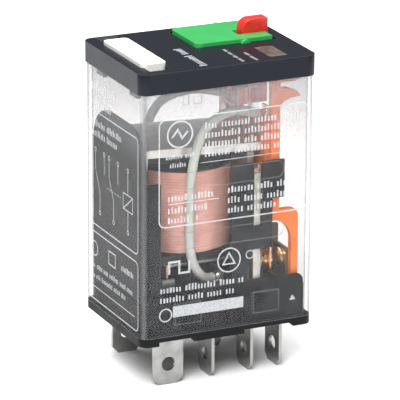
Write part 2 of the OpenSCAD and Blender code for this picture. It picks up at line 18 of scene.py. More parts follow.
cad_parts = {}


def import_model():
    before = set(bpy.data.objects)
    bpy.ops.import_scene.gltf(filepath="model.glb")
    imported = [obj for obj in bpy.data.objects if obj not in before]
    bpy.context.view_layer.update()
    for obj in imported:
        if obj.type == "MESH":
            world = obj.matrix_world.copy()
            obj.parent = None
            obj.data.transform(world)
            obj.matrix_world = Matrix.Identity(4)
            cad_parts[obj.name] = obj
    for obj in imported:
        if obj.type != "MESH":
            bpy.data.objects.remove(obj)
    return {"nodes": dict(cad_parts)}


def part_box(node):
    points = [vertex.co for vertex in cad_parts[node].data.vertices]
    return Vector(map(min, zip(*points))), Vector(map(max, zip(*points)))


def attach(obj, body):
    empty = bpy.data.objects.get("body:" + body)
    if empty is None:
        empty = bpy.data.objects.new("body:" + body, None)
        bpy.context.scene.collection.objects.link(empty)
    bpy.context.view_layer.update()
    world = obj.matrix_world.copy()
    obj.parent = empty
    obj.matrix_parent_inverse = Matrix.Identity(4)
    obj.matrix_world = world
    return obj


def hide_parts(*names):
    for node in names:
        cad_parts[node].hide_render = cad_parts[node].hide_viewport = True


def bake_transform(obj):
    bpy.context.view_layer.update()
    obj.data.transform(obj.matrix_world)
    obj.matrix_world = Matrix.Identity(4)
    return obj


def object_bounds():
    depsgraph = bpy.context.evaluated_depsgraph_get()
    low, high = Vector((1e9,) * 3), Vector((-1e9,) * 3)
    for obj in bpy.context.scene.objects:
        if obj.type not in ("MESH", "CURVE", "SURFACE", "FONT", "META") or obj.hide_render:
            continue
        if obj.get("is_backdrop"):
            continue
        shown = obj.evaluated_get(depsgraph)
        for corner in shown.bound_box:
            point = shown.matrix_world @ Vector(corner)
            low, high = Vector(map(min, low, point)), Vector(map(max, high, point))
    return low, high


LOG = logging.getLogger("relay")
MM = 0.001
EDGE_TILT = 0.22
PRINT_LIFT = 0.02
WHITE = (1.0, 1.0, 1.0)
EVEN = (1.0, 1.0, 1.0)
Colour = tuple[float, float, float]
Point = tuple[float, float, float]
Flat = tuple[float, float]
Shape = tuple[list[Point], list[list[int]]]
Socket = bpy.types.NodeSocket


class Body(Enum):
    """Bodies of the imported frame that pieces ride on."""

    HOUSING = "housing"
    ARMATURE = "armature_group"
    BUTTON = "button"
    DOOR = "door"
    TAG = "tag"


class Side(Enum):
    """The two poles of the relay."""

    FRONT = -1
    REAR = 1

    @property
    def word(self) -> str:
        """The side's name as the CAD nodes spell it."""
        return self.name.lower()


# Materials


class NodeSketch:
    """A material whose nodes are added one by one."""

    def __init__(self, name: str) -> None:
        """Starts an empty material.

        Args:
            name: The material's name.
        """
        self.material = bpy.data.materials.new(name)
        self.material.use_nodes = True
        self.tree = self.material.node_tree
        self.tree.nodes.clear()
        self.place = self.add("ShaderNodeTexCoord").outputs["Object"]

    def add(self, kind: str, inputs: dict | None = None, **settings) -> bpy.types.Node:
        """Adds a node.

        Args:
            kind: The node's type.
            inputs: Values or sockets by input name or number.
            settings: Attributes of the node.

        Returns:
            The new node.
        """
        node = self.tree.nodes.new(kind)
        for key, value in settings.items():
            setattr(node, key, value)
        for key, value in (inputs or {}).items():
            socket = node.inputs[key]
            if isinstance(value, Socket):
                self.tree.links.new(value, socket)
            else:
                needs_alpha = socket.type == "RGBA" and isinstance(value, tuple) and len(value) == 3
                socket.default_value = (*value, 1.0) if needs_alpha else value
        return node

    def noise(self, size_mm: float, detail: float = 4.0, stretch: Point = (1, 1, 1)) -> Socket:
        """Noise laid in the row's frame.

        Args:
            size_mm: Size of its features.
            detail: Levels of finer noise.
            stretch: How much longer the features are along X, Y and Z.

        Returns:
            The noise's value socket.
        """
        scale = tuple(1.0 / (size_mm * MM * s) for s in stretch)
        mapped = self.add("ShaderNodeMapping", {"Vector": self.place, "Scale": scale})
        inputs = {"Vector": mapped.outputs[0], "Scale": 1.0, "Detail": detail}
        return self.add("ShaderNodeTexNoise", inputs).outputs[0]

    def math(self, operation: str, first: Socket, second: Socket, clamp: bool = False) -> Socket:
        """Works out one number from two.

        Args:
            operation: The Math node's operation.
            first: Its first socket.
            second: Its second socket.
            clamp: Whether the result is kept from 0 to 1.

        Returns:
            The result's socket.
        """
        inputs = {0: first, 1: second}
        return self.add("ShaderNodeMath", inputs, operation=operation, use_clamp=clamp).outputs[0]

    def span(self, value: Socket, low: float, high: float, source: Flat = (0.3, 0.7)) -> Socket:
        """A value's range mapped to another.

        Args:
            value: The socket to map.
            low: Result at the source range's start.
            high: Result at its end.
            source: The source range.

        Returns:
            The mapped value's socket.
        """
        inputs = {"Value": value, "To Min": low, "To Max": high}
        inputs |= {"From Min": source[0], "From Max": source[1]}
        return self.add("ShaderNodeMapRange", inputs).outputs[0]

    def blend(self, amount: Socket, first: Colour, second: Colour) -> Socket:
        """Mixes two colours.

        Args:
            amount: Share of the second.
            first: Colour at 0.
            second: Colour at 1.

        Returns:
            The mixed colour's socket.
        """
        mix = self.add("ShaderNodeMix", {0: amount, 6: first, 7: second}, data_type="RGBA")
        return mix.outputs[2]

    def bump(self, height: Socket, depth_mm: float, strength: float = 0.6) -> Socket:
        """A bumped normal.

        Args:
            height: Height from 0 to 1.
            depth_mm: Depth that a height of 1 stands for.
            strength: How strongly it tilts the normal.

        Returns:
            The normal's socket.
        """
        inputs = {"Height": height, "Distance": depth_mm * MM, "Strength": strength}
        return self.add("ShaderNodeBump", inputs).outputs[0]

    def edges(self, radius_mm: float) -> Socket:
        """Where the surface turns sharply, such as an edge.

        Args:
            radius_mm: How far from an edge it counts.

        Returns:
            A socket that is 1 on an edge and 0 away from one.
        """
        rounded = self.add("ShaderNodeBevel", {"Radius": radius_mm * MM}, samples=3).outputs[0]
        plain = self.add("ShaderNodeNewGeometry").outputs["Normal"]
        inputs = {0: rounded, 1: plain}
        match = self.add("ShaderNodeVectorMath", inputs, operation="DOT_PRODUCT").outputs["Value"]
        return self.span(match, 1.0, 0.0, (1.0 - EDGE_TILT, 0.995))

    def turned(self) -> Socket:
        """Where the surface faces between two row axes, as on a round corner.

        Returns:
            A socket that is 1 in the middle of a round corner and 0 on the flat sides.
        """
        normal = self.add("ShaderNodeNewGeometry").outputs["Normal"]
        size = self.add("ShaderNodeVectorMath", {0: normal}, operation="ABSOLUTE").outputs[0]
        parts = self.add("ShaderNodeSeparateXYZ", {0: size})
        side = self.math("MAXIMUM", parts.outputs[0], parts.outputs[1])
        main_axis = self.math("MAXIMUM", side, parts.outputs[2])
        return self.span(main_axis, 1.0, 0.0, (0.75, 0.99))

    def finish(self, shader: Socket) -> bpy.types.Material:
        """Connects the shader to the output.

        Args:
            shader: The surface shader's socket.

        Returns:
            The finished material.
        """
        self.add("ShaderNodeOutputMaterial", {"Surface": shader})
        return self.material


def scaled(colour: Colour, share: float) -> Colour:
    """A lighter or darker colour.

    Args:
        colour: The colour to change.
        share: Factor for each channel.

    Returns:
        The changed colour, no channel over 1.
    """
    return tuple(min(1.0, channel * share) for channel in colour)


@dataclass(frozen=True)
class Plastic:
    """Moulded plastic with fine grain, faint flow marks and edges made paler."""

    colour: Colour
    roughness: float = 0.4
    grain_mm: float = 0.12
    grain_depth_mm: float = 0.003
    variation: float = 0.12
    edge: float = 0.25
    glow: float = 0.0
    specular: float = 0.5
    flow_mm: float = 3.2
    pale_edge_mm: float = 0.18
    pale_edge_lift: float = 0.2
    glow_reach_mm: float = 1.5

    def build(self, name: str) -> bpy.types.Material:
        """Makes the material.

        Args:
            name: The material's name.

        Returns:
            The material.
        """
        sketch = NodeSketch(name)
        flow = sketch.noise(self.flow_mm, 5.0)
        tone = sketch.blend(sketch.span(flow, 0.0, 1.0), scaled(self.colour, 1 - self.variation),
                            scaled(self.colour, 1 + self.variation))
        # edges are lifted towards a paler colour
        pale_edges = sketch.span(sketch.edges(self.pale_edge_mm), 0.0, self.edge, (0.0, 1.0))
        pale = tuple(channel + (1 - channel) * self.pale_edge_lift for channel in self.colour)
        colour = sketch.add("ShaderNodeMix", {0: pale_edges, 6: tone, 7: pale}, data_type="RGBA").outputs[2]
        grain = sketch.noise(self.grain_mm, 3.0)
        inputs = {
            "Base Color": colour,
            "Roughness": sketch.span(flow, self.roughness * 0.85, self.roughness * 1.15),
            "Normal": sketch.bump(grain, self.grain_depth_mm),
            "Subsurface Weight": self.glow,
            "Subsurface Scale": self.glow_reach_mm * MM,
            "Specular IOR Level": self.specular,
        }
        return sketch.finish(sketch.add("ShaderNodeBsdfPrincipled", inputs).outputs[0])


@dataclass(frozen=True)
class Metal:
    """Rolled or plated metal with fine drawn lines and dull patches."""

    colour: Colour
    roughness: float = 0.32
    stretch: Point = (1.0, 1.0, 12.0)
    line_mm: float = 0.06
    stain: float = 0.18
    stain_colour: Colour = (0.34, 0.31, 0.27)
    stain_mm: float = 1.6
    line_depth_mm: float = 0.006

    def build(self, name: str) -> bpy.types.Material:
        """Makes the material.

        Args:
            name: The material's name.

        Returns:
            The material.
        """
        sketch = NodeSketch(name)
        lines = sketch.noise(self.line_mm, 2.0, self.stretch)
        patches = sketch.noise(self.stain_mm, 6.0)
        stained = sketch.span(patches, 0.0, self.stain, (0.4, 0.75))
        colour = sketch.blend(stained, self.colour, self.stain_colour)
        dull = sketch.span(patches, self.roughness * 0.8, self.roughness * 1.4)
        inputs = {
            "Base Color": colour,
            "Metallic": 0.95,
            "Roughness": dull,
            "Normal": sketch.bump(lines, self.line_depth_mm, 0.5),
        }
        return sketch.finish(sketch.add("ShaderNodeBsdfPrincipled", inputs).outputs[0])


@dataclass(frozen=True)
class ClearPlastic:
    """Clear moulded plastic: see-through with soft gloss; a hazy layer that is partly real cloudiness and
    partly a painted reflection of the bright surroundings; painted highlights on cut edges and painted shade
    at round corners.
    """

    tint: Colour = (0.895, 0.89, 0.885)
    edge_tint_and_shade: float = 0.55
    haze_and_reflection_colour: Colour = (0.42, 0.43, 0.45)
    haze_and_reflection: Flat = (0.02, 0.05)
    haze_and_reflection_mm: float = 2.4
    index: float = 1.5
    roughness: float = 0.05
    ripple_mm: float = 9.0
    ripple_depth_mm: float = 0.05
    gloss: float = 0.16
    edge: float = 0.45
    edge_mm: float = 0.22
    corner: float = 0.2
    frost: float = 0.0
    frost_z: Flat = (28.0, 38.0)
    frost_mm: float = 0.5

    def build(self, name: str) -> bpy.types.Material:
        """Makes the material.

        Args:
            name: The material's name.

        Returns:
            The material.
        """
        sketch = NodeSketch(name)
        normal = sketch.bump(sketch.noise(self.ripple_mm, 1.0), self.ripple_depth_mm, 0.25)
        turned = sketch.turned()
        surface_inputs = {0: self.mirrored(sketch, normal, turned), 1: self.through(sketch, normal, turned),
                          2: self.glint(sketch, normal)}
        surface = sketch.add("ShaderNodeMixShader", surface_inputs).outputs[0]
        # diffuse hazy layer: partly real cloudiness, partly a painted reflection veil
        haze_and_reflection_inputs = {"Base Color": self.haze_and_reflection_colour, "Roughness": 0.6}
        haze_and_reflection_layer = sketch.add("ShaderNodeBsdfPrincipled", haze_and_reflection_inputs).outputs[0]
        mix_inputs = {0: self.cover(sketch, turned), 1: surface, 2: haze_and_reflection_layer}
        return sketch.finish(sketch.add("ShaderNodeMixShader", mix_inputs).outputs[0])

    def through(self, sketch: NodeSketch, normal: Socket, turned: Socket) -> Socket:
        """The see-through part: darker where the wall is seen along its thickness, as real absorption, and
        darker on round corners, which is painted shade in place of refraction.

        Args:
            sketch: The material.
            normal: The rippled normal.
            turned: Where the wall turns a round corner.

        Returns:
            The shader's socket.
        """
        facing = sketch.add("ShaderNodeLayerWeight", {"Blend": 0.5, "Normal": normal}).outputs["Facing"]
        # painted shade: round corners are darkened as if refracting; the darkening at a grazing view is
        # absorption along the wall
        thickness_and_corner_shade = sketch.math("MAXIMUM", sketch.span(facing, 0.0, 0.5, (0.6, 1.0)), turned)
        seen = sketch.blend(thickness_and_corner_shade, self.tint, scaled(self.tint, self.edge_tint_and_shade))
        return sketch.add("ShaderNodeBsdfTransparent", {"Color": seen}).outputs[0]

    def glint(self, sketch: NodeSketch, normal: Socket) -> Socket:
        """The mirror-like part.

        Args:
            sketch: The material.
            normal: The rippled normal.

        Returns:
            The shader's socket.
        """
        inputs = {"Base Color": WHITE, "Metallic": 1.0, "Roughness": self.roughness, "Normal": normal}
        return sketch.add("ShaderNodeBsdfPrincipled", inputs).outputs[0]

    def mirrored(self, sketch: NodeSketch, normal: Socket, turned: Socket) -> Socket:
        """How much the outer skin mirrors; the inner skin and the corners stay calm.

        Args:
            sketch: The material.
            normal: The rippled normal.
            turned: Where the wall turns a round corner.

        Returns:
            The share's socket.
        """
        fresnel = sketch.add("ShaderNodeFresnel", {"IOR": self.index, "Normal": normal}).outputs[0]
        inside = sketch.add("ShaderNodeNewGeometry").outputs["Backfacing"]
        calm = sketch.math("SUBTRACT", sketch.span(turned, self.gloss, 0.0, (0.0, 0.5)), inside, clamp=True)
        return sketch.math("MULTIPLY", fresnel, calm)

    def cover(self, sketch: NodeSketch, turned: Socket) -> Socket:
        """How much hazy layer, painted edge highlight, painted grey at round corners and frosting cover the
        wall.

        Args:
            sketch: The material.
            turned: Where the wall turns a round corner.

        Returns:
            The share's socket.
        """
        # the hazy layer is partly real cloudiness and partly a painted reflection of the bright surroundings
        haze_and_reflection_share = sketch.span(sketch.noise(self.haze_and_reflection_mm, 2.0), self.haze_and_reflection[0], self.haze_and_reflection[1])
        # painted highlight: cut edges get more of the hazy layer so that they look bright, as refracting
        # edges do
        painted_edge_highlight = sketch.span(sketch.edges(self.edge_mm), 0.0, self.edge, (0.0, 1.0))
        # painted grey at round corners, standing in for refraction
        corner = sketch.span(turned, 0.0, self.corner, (0.0, 1.0))
        amount = sketch.math("MAXIMUM", sketch.math("MAXIMUM", haze_and_reflection_share, painted_edge_highlight), corner)
        height = sketch.add("ShaderNodeSeparateXYZ", {0: sketch.place}).outputs[2]
        frost = sketch.span(height, 0.0, self.frost, (self.frost_z[0] * MM, self.frost_z[1] * MM))
        specks = sketch.span(sketch.noise(self.frost_mm, 5.0), 0.4, 1.0)
        return sketch.math("ADD", amount, sketch.math("MULTIPLY", frost, specks))


@dataclass(frozen=True)
class Ink:
    """Pad-printed ink whose cover is a little uneven."""

    colour: Colour
    cover: Flat = (0.7, 0.95)
    speck_mm: float = 0.15

    def build(self, name: str) -> bpy.types.Material:
        """Makes the material.

        Args:
            name: The material's name.

        Returns:
            The material.
        """
        sketch = NodeSketch(name)
        specks = sketch.noise(self.speck_mm, 4.0)
        tone = sketch.blend(sketch.span(specks, 0.0, 1.0), scaled(self.colour, 0.82), self.colour)
        inputs = {
            "Base Color": tone,
            "Roughness": 0.55,
            "Alpha": sketch.span(specks, self.cover[0], self.cover[1]),
        }
        return sketch.finish(sketch.add("ShaderNodeBsdfPrincipled", inputs).outputs[0])


@dataclass(frozen=True)
class WoundTape:
    """Tape wound round the coil: fine turns of wire show through as rings."""

    colour: Colour
    pitch_mm: float = 0.42
    roughness: float = 0.34
    shade: float = 0.3
    blotch_mm: float = 2.2
    ring_depth_mm: float = 0.04

    def build(self, name: str) -> bpy.types.Material:
        """Makes the material.

        Args:
            name: The material's name.

        Returns:
            The material.
        """
        sketch = NodeSketch(name)
        scale = 1.0 / (self.pitch_mm * MM * math.tau / 2)
        wave_inputs = {"Vector": sketch.place, "Scale": scale, "Distortion": 0.6, "Detail": 1.0}
        rings = sketch.add("ShaderNodeTexWave", wave_inputs, bands_direction="Z").outputs[1]
        blotch = sketch.span(sketch.noise(self.blotch_mm, 5.0), 0.0, 1.0)
        tone = sketch.blend(blotch, scaled(self.colour, 0.82), scaled(self.colour, 1.15))
        shade_inputs = {0: self.shade, 6: tone, 7: sketch.span(rings, 0.3, 1.0, (0.0, 1.0))}
        shade = sketch.add("ShaderNodeMix", shade_inputs, data_type="RGBA", blend_type="MULTIPLY").outputs[2]
        inputs = {
            "Base Color": shade,
            "Roughness": self.roughness,
            "Normal": sketch.bump(rings, self.ring_depth_mm, 0.5),
            "Coat Weight": 0.3,
            "Subsurface Weight": 0.1,
            "Subsurface Scale": MM,
        }
        return sketch.finish(sketch.add("ShaderNodeBsdfPrincipled", inputs).outputs[0])


Finish = Plastic | Metal | ClearPlastic | Ink | WoundTape


class Palette:
    """Makes each finish once, under its name."""

    def __init__(self) -> None:
        """Lists the relay's finishes."""
        clear_lens = ClearPlastic(tint=(0.7, 0.55, 0.48), edge_tint_and_shade=0.8, haze_and_reflection_colour=(0.5, 0.38, 0.34),
                                  haze_and_reflection=(0.12, 0.25), roughness=0.04, edge=0.8)
        tin = Metal((0.36, 0.36, 0.355), 0.34, stretch=(1.0, 1.0, 9.0), line_mm=0.08, stain=0.45,
                    stain_colour=(0.2, 0.19, 0.18))
        self.finishes: dict[str, Finish] = {
            "black_base": Plastic((0.003, 0.0035, 0.004), 0.5, grain_mm=0.4, grain_depth_mm=0.001, edge=0.12,
                                  specular=0.15),
            "clear_case": ClearPlastic(frost=0.42, frost_z=(27.0, 41.0)),
            "black_cap": Plastic((0.004, 0.006, 0.011), 0.32, edge=0.2, specular=0.2),
            "smoked_lens": clear_lens,
            "white_tag": Plastic((0.66, 0.66, 0.63), 0.45, variation=0.03, edge=0.1),
            "green_door": Plastic((0.025, 0.3, 0.07), 0.36, variation=0.04, edge=0.12, glow=0.1),
            "red_button": Plastic((0.52, 0.02, 0.012), 0.3, variation=0.1, edge=0.25, glow=0.05),
            "tinned_blade": tin,
            "silver_contact": Metal((1.0, 0.76, 0.4), 0.2, stretch=EVEN, line_mm=0.2, stain=0.08),
            "copper_spring": Metal((0.95, 0.5, 0.26), 0.26),
            "steel_rivet": Metal((0.62, 0.62, 0.62), 0.3, stretch=EVEN, line_mm=0.2),
            "orange_carrier": Plastic((1.0, 0.22, 0.03), 0.3, variation=0.08, edge=0.4, glow=0.22),
            "nickel_armature": Metal((0.95, 0.93, 0.89), 0.42, stretch=(10.0, 1.0, 1.0)),
            "zinc_yoke": Metal((0.68, 0.66, 0.62), 0.42, stretch=(1.0, 8.0, 1.0)),
            "iron_core": Metal((0.5, 0.49, 0.48), 0.4, stretch=EVEN, line_mm=0.3),
            "dark_bobbin": Plastic((0.012, 0.013, 0.015), 0.4, grain_depth_mm=0.001, specular=0.35),
            "dark_shield": Plastic((0.012, 0.013, 0.015), 0.45, grain_depth_mm=0.001, specular=0.25),
            "enamel_wire": WoundTape((0.45, 0.16, 0.06), pitch_mm=0.3),
            "pink_tape": WoundTape((1.0, 0.46, 0.38), roughness=0.28, shade=0.1),
            "brown_laminate": Plastic((0.12, 0.08, 0.055), 0.5, grain_mm=0.3),
            "grey_sleeve": Plastic((0.6, 0.63, 0.59), 0.36, grain_mm=0.25, grain_depth_mm=0.02,
                                   variation=0.08, edge=0.1, glow=0.15),
            "spring_steel": Metal((0.66, 0.66, 0.66), 0.25, stretch=EVEN, line_mm=0.1),
            "solder": Metal((0.82, 0.82, 0.8), 0.2, stretch=EVEN, line_mm=0.6, stain=0.1),
            "pale_ink": Ink((0.52, 0.54, 0.56), cover=(0.6, 0.9)),
            "cap_ink": Ink((0.5, 0.53, 0.55), cover=(0.6, 0.9)),
            "tag_ink": Ink((0.45, 0.47, 0.48), cover=(0.3, 0.6)),
        }
        self.made: dict[str, bpy.types.Material] = {}

    def __getitem__(self, name: str) -> bpy.types.Material:
        """The material of a finish.

        Args:
            name: The finish's name.

        Returns:
            Its material, made on first use.
        """
        if name not in self.made:
            self.made[name] = self.finishes[name].build(name)
        return self.made[name]


# Mesh helpers


def mesh_piece(name: str, points: list[Point], faces: list[list[int]], material: bpy.types.Material,
               smooth: bool = False) -> bpy.types.Object:
    """Makes an object from points in millimetres.

    Args:
        name: The piece's name.
        points: Its vertices.
        faces: Vertex numbers of each face.
        material: Its material.
        smooth: Whether its faces are shaded smooth.

    Returns:
        The new object.
    """
    mesh = bpy.data.meshes.new(name)
    mesh.from_pydata([Vector(point) * MM for point in points], [], faces)
    mesh.update()
    mesh.materials.append(material)
    if smooth:
        mesh.polygons.foreach_set("use_smooth", [True] * len(mesh.polygons))
    piece = bpy.data.objects.new(name, mesh)
    bpy.context.scene.collection.objects.link(piece)
    return piece


def smooth_path(route: list[Point], steps: int) -> list[Vector]:
    """A smooth curve through every point of a route.

    Args:
        route: Points to pass.
        steps: Pieces between two points.

    Returns:
        Points along the curve.
    """
    knots = [Vector(point) for point in route]
    knots = [knots[0] * 2 - knots[1], *knots, knots[-1] * 2 - knots[-2]]
    path = []
    for a, b, c, d in zip(knots, knots[1:], knots[2:], knots[3:]):
        for step in range(steps):
            t = step / steps
            path.append(0.5 * (2 * b + (c - a) * t + (2 * a - 5 * b + 4 * c - d) * t ** 2
                               + (3 * b - 3 * c + d - a) * t ** 3))
    return [*path, knots[-2]]


def ring_faces(low: int, high: int, sides: int) -> list[list[int]]:
    """Faces between two rings of points.

    Args:
        low: Number of the first ring's first point.
        high: Number of the second ring's first point.
        sides: Points in each ring.

    Returns:
        Vertex numbers of each face.
    """
    return [[low + k, low + (k + 1) % sides, high + (k + 1) % sides, high + k] for k in range(sides)]


def tube(path: list[Vector], radius: float, sides: int) -> Shape:
    """A round tube with closed ends along a path, without twist.

    Args:
        path: Its centre line.
        radius: Its radius.
        sides: Points in each ring.

    Returns:
        Its points and faces.
    """
    points, faces = [], []
    side = None
    for i, centre in enumerate(path):
        heading = (path[min(i + 1, len(path) - 1)] - path[max(i - 1, 0)]).normalized()
        if side is None:
            side = heading.orthogonal().normalized()
        side = (side - heading * side.dot(heading)).normalized()
        across = heading.cross(side)
        for k in range(sides):
            turn = math.tau * k / sides
            points.append(tuple(centre + radius * (math.cos(turn) * side + math.sin(turn) * across)))
        if i:
            low, high = (i - 1) * sides, i * sides
            faces += ring_faces(low, high, sides)
    faces.append(list(range(sides - 1, -1, -1)))
    faces.append([len(points) - sides + k for k in range(sides)])
    return points, faces


def blob(centre: Point, size: Point, rings: int = 8, sides: int = 14) -> Shape:
    """A rounded lump, such as a drop of solder.

    Args:
        centre: Its middle.
        size: Its half sizes along X, Y and Z.
        rings: Rings between its poles.
        sides: Points in each ring.

    Returns:
        Its points and faces.
    """
    cx, cy, cz = centre
    points = [(cx, cy, cz - size[2])]
    for ring in range(1, rings):
        tilt = math.pi * ring / rings
        wide = math.sin(tilt) ** 0.8
        for k in range(sides):
            turn = math.tau * k / sides
            points.append((cx + size[0] * wide * math.cos(turn), cy + size[1] * wide * math.sin(turn),
                           cz - size[2] * math.cos(tilt)))
    points.append((cx, cy, cz + size[2]))
    last = len(points) - 1
    faces = [[0, 1 + (k + 1) % sides, 1 + k] for k in range(sides)]
    for ring in range(rings - 2):
        low, high = 1 + ring * sides, 1 + (ring + 1) * sides
        faces += ring_faces(low, high, sides)
    top = last - sides
    faces += [[top + k, top + (k + 1) % sides, last] for k in range(sides)]
    return points, faces


def merged(shapes: list[Shape]) -> Shape:
    """Several shapes as one list of points and faces.

    Args:
        shapes: Points and faces of each.

    Returns:
        All points and faces.
    """
    points, faces = [], []
    for some_points, some_faces in shapes:
        start = len(points)
        points += some_points
        faces += [[start + k for k in face] for face in some_faces]
    return points, faces


# Print


@dataclass(frozen=True)
class Panel:
    """A flat face to print on: u and v run along two row axes."""

    origin: Point
    u_axis: Point
    v_axis: Point

    def at(self, u: float, v: float) -> Point:
        """A place on the panel.

        Args:
            u: Distance along the first axis.
            v: Distance along the second.

        Returns:
            The point in the row's frame.
        """
        return tuple(Vector(self.origin) + u * Vector(self.u_axis) + v * Vector(self.v_axis))


@dataclass
class PrintSheet:
    """Printed marks on one panel, gathered into one thin piece."""

    name: str
    panel: Panel
    line: float = 0.16
    shapes: list[Shape] = field(default_factory=list)

    def patch(self, corners: list[Flat]) -> None:
        """Adds a filled polygon.

        Args:
            corners: Its corners on the panel.
        """
        self.shapes.append(([self.panel.at(*corner) for corner in corners], [list(range(len(corners)))]))

    def bar(self, low: Flat, high: Flat) -> None:
        """Adds a filled rectangle.

        Args:
            low: One corner.
            high: The opposite corner.
        """
        self.patch([low, (high[0], low[1]), high, (low[0], high[1])])

    def stroke(self, path: list[Flat], closed: bool = False, width: float | None = None) -> None:
        """Adds a line of even width with mitred corners.

        Args:
            path: Its points.
            closed: Whether the last point joins the first.
            width: Its width, or the sheet's own.
        """
        half = (width or self.line) / 2
        knots = [Vector(point) for point in path]
        count = len(knots)
        inner, outer = [], []
        for i, knot in enumerate(knots):
            before = knots[i - 1] if i or closed else None
            after = knots[(i + 1) % count] if i < count - 1 or closed else None
            ahead = (after - knot).normalized() if after else (knot - before).normalized()
            behind = (knot - before).normalized() if before else ahead
            bisector = (ahead + behind).normalized()
            normal = Vector((-bisector.y, bisector.x))
            reach = half / max(0.4, normal.dot(Vector((-ahead.y, ahead.x))))
            inner.append(knot - normal * reach)
            outer.append(knot + normal * reach)
        points = [self.panel.at(p.x, p.y) for pair in zip(inner, outer) for p in pair]
        last = count if closed else count - 1
        faces = [[2 * i, 2 * ((i + 1) % count), 2 * ((i + 1) % count) + 1, 2 * i + 1] for i in range(last)]
        self.shapes.append((points, faces))

    def ring(self, u: float, v: float, radius: float, width: float | None = None) -> None:
        """Adds a circle.

        Args:
            u: Centre along the first axis.
            v: Centre along the second.
            radius: Its radius.
            width: Width of its line, or the sheet's own.
        """
        circle = [(u + radius * math.cos(math.tau * k / 32), v + radius * math.sin(math.tau * k / 32))
                  for k in range(32)]
        self.stroke(circle, True, width)

    def frame(self, low: Flat, high: Flat, radius: float, width: float | None = None) -> None:
        """Adds a rectangular line with round corners.

        Args:
            low: Its lowest corner.
            high: Its highest corner.
            radius: Radius of its corners.
            width: Width of its line, or the sheet's own.
        """
        path = []
        centres = [(high[0] - radius, high[1] - radius), (low[0] + radius, high[1] - radius),
                   (low[0] + radius, low[1] + radius), (high[0] - radius, low[1] + radius)]
        for quarter, (u, v) in enumerate(centres):
            for step in range(7):
                turn = math.pi / 2 * (quarter + step / 6)
                path.append((u + radius * math.cos(turn), v + radius * math.sin(turn)))
        self.stroke(path, True, width)

    def words(self, u0: float, u1: float, v: float, height: float, seed: int) -> None:
        """Adds a line of small marks that only looks like print and spells nothing.

        Args:
            u0: Where it starts.
            u1: Where it ends.
            v: Its base line.
            height: Height of the tallest marks.
            seed: Fixes the marks' pattern.
        """
        picker = random.Random(seed)
        step = 1 if u1 > u0 else -1
        pitch = height * 0.5
        place = 0.0
        run = picker.randint(4, 11)
        while place + pitch < abs(u1 - u0):
            if run == 0:
                run = picker.randint(4, 11)
                place += pitch
                continue
            wide = pitch * picker.uniform(0.4, 0.62)
            tall = height * picker.choice([0.95, 0.7, 0.7, 0.78])
            self.bar((u0 + step * place, v), (u0 + step * (place + wide), v + tall))
            place += pitch
            run -= 1

    def build(self, material: bpy.types.Material, body: Body, slot: str) -> bpy.types.Object:
        """Makes the printed piece.

        Args:
            material: Its ink.
            body: The body it rides on.
            slot: Not used.

        Returns:
            The printed object.
        """
        points, faces = merged(self.shapes)
        piece = mesh_piece(self.name, points, faces, material)
        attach(piece, body.value)
        return piece


